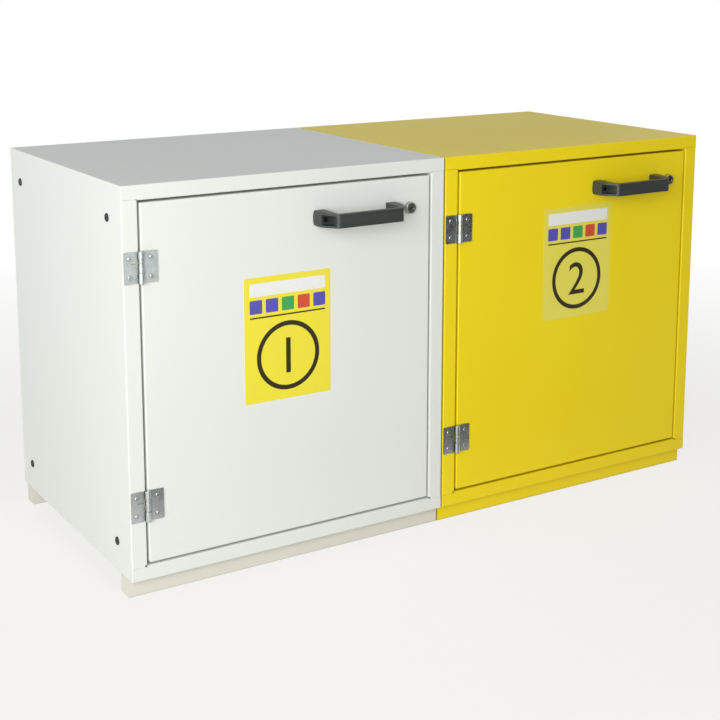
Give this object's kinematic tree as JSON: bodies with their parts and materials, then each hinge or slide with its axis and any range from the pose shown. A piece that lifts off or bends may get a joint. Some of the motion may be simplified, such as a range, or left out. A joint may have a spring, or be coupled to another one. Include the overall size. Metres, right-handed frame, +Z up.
{
  "type": "underbench safety cabinet",
  "caption": "Joined pair of insulated underbench safety cabinets, each with one hinged door, bridge handle, cam lock, shelf, spill tray and rear exhaust collar.",
  "frame": {"origin": "on the floor, under the middle of the pair's box", "axes": "+Z up, doors face -Y, the white unit is on the -X side and the yellow unit on the +X side"},
  "size_m": [1.207, 0.608, 0.674],
  "materials": {
    "white_paint": "powder coat, light white, satin",
    "yellow_paint": "powder coat, yellow, satin",
    "liner_paint": "powder coat, off-white, fine texture",
    "tray_paint": "powder coat, light grey",
    "insulation_board": "fibre-filled silicate board, matte",
    "seal_rubber": "moulded seal, black",
    "zinc_steel": "bright zinc plated",
    "hinge_zinc": "zinc plated, dull",
    "rivet_metal": "set rivet, bright",
    "black_zinc": "zinc plated, black passivated",
    "handle_nylon": "glass-filled nylon, fine texture, black",
    "lock_nickel": "nickel plated",
    "plug_plastic": "moulded plug, dark grey"
  },
  "bodies": {
    "cabinet": {"white_top_cover": "white_paint", "white_left_side": "white_paint", "white_right_side": "white_paint", "white_back_panel": "white_paint", "white_bottom_panel": "white_paint", "white_insulation": "insulation_board", "white_liner": "liner_paint", "white_door_stop": "liner_paint", "white_door_seal": "seal_rubber", "white_shelf": "liner_paint", "white_shelf_clips": "zinc_steel", "white_spill_tray": "tray_paint", "white_base_rails": "white_paint", "white_exhaust_collar": "zinc_steel", "white_hinge_frame_leaves": "hinge_zinc", "white_hinge_pins": "hinge_zinc", "white_frame_rivets": "rivet_metal", "yellow_top_cover": "yellow_paint", "yellow_left_side": "yellow_paint", "yellow_right_side": "yellow_paint", "yellow_back_panel": "yellow_paint", "yellow_bottom_panel": "yellow_paint", "yellow_insulation": "insulation_board", "yellow_liner": "liner_paint", "yellow_door_stop": "liner_paint", "yellow_door_seal": "seal_rubber", "yellow_shelf": "liner_paint", "yellow_shelf_clips": "zinc_steel", "yellow_spill_tray": "tray_paint", "yellow_base_rails": "yellow_paint", "yellow_exhaust_collar": "zinc_steel", "yellow_hinge_frame_leaves": "hinge_zinc", "yellow_hinge_pins": "hinge_zinc", "yellow_frame_rivets": "rivet_metal", "joining_bolts": "zinc_steel", "side_plugs": "plug_plastic"},
    "white_door": {"white_door_skin": "white_paint", "white_door_liner": "liner_paint", "white_door_core": "insulation_board", "white_hinge_door_leaves": "hinge_zinc", "white_door_rivets": "rivet_metal", "white_handle": "handle_nylon", "white_handle_screws": "black_zinc", "white_lock_housing": "lock_nickel", "white_lock_nut": "zinc_steel"},
    "white_lock": {"white_lock_plug": "lock_nickel", "white_lock_cam": "zinc_steel", "white_cam_screw": "zinc_steel"},
    "yellow_door": {"yellow_door_skin": "yellow_paint", "yellow_door_liner": "liner_paint", "yellow_door_core": "insulation_board", "yellow_hinge_door_leaves": "hinge_zinc", "yellow_door_rivets": "rivet_metal", "yellow_handle": "handle_nylon", "yellow_handle_screws": "black_zinc", "yellow_lock_housing": "lock_nickel", "yellow_lock_nut": "zinc_steel"},
    "yellow_lock": {"yellow_lock_plug": "lock_nickel", "yellow_lock_cam": "zinc_steel", "yellow_cam_screw": "zinc_steel"}
  },
  "joints": [
    {"name": "white_door_hinge", "type": "hinge", "parent": "cabinet", "child": "white_door", "pos_m": [-0.5725, -0.2565, 0.3525], "axis": [0, 0, -1], "range_deg": [0, 110]},
    {"name": "white_lock_turn", "type": "hinge", "parent": "white_door", "child": "white_lock", "pos_m": [-0.0745, -0.252, 0.5925], "axis": [0, -1, 0], "range_deg": [0, 90]},
    {"name": "yellow_door_hinge", "type": "hinge", "parent": "cabinet", "child": "yellow_door", "pos_m": [0.0305, -0.2565, 0.3525], "axis": [0, 0, -1], "range_deg": [0, 110]},
    {"name": "yellow_lock_turn", "type": "hinge", "parent": "yellow_door", "child": "yellow_lock", "pos_m": [0.5285, -0.252, 0.5925], "axis": [0, -1, 0], "range_deg": [0, 90]}
  ]
}
